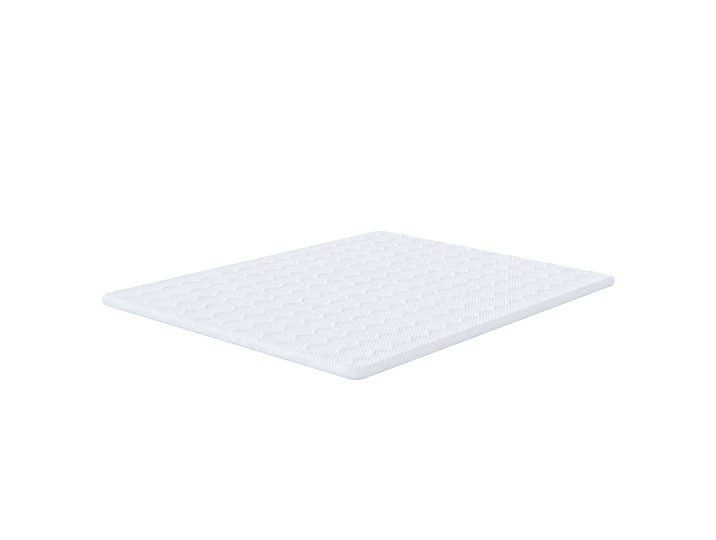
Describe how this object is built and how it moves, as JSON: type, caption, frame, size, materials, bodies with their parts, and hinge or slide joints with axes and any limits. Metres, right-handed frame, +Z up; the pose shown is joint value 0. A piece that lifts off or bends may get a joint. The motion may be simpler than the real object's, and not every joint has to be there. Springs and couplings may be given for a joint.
{
  "type": "mattress topper",
  "caption": "Low rectangular foam pad in a thick white ribbed knit cover with a raised hexagon pattern, and with rounded sides and corners.",
  "frame": {"origin": "middle of the underside, on the surface it lies on", "axes": "+Z up, +Y along the long side, +X along the short side"},
  "size_m": [1.5, 1.9997, 0.05],
  "materials": {
    "cover": "matte white ribbed knit with raised hexagon outlines"
  },
  "bodies": {
    "root": {"topper": "cover"}
  },
  "joints": []
}
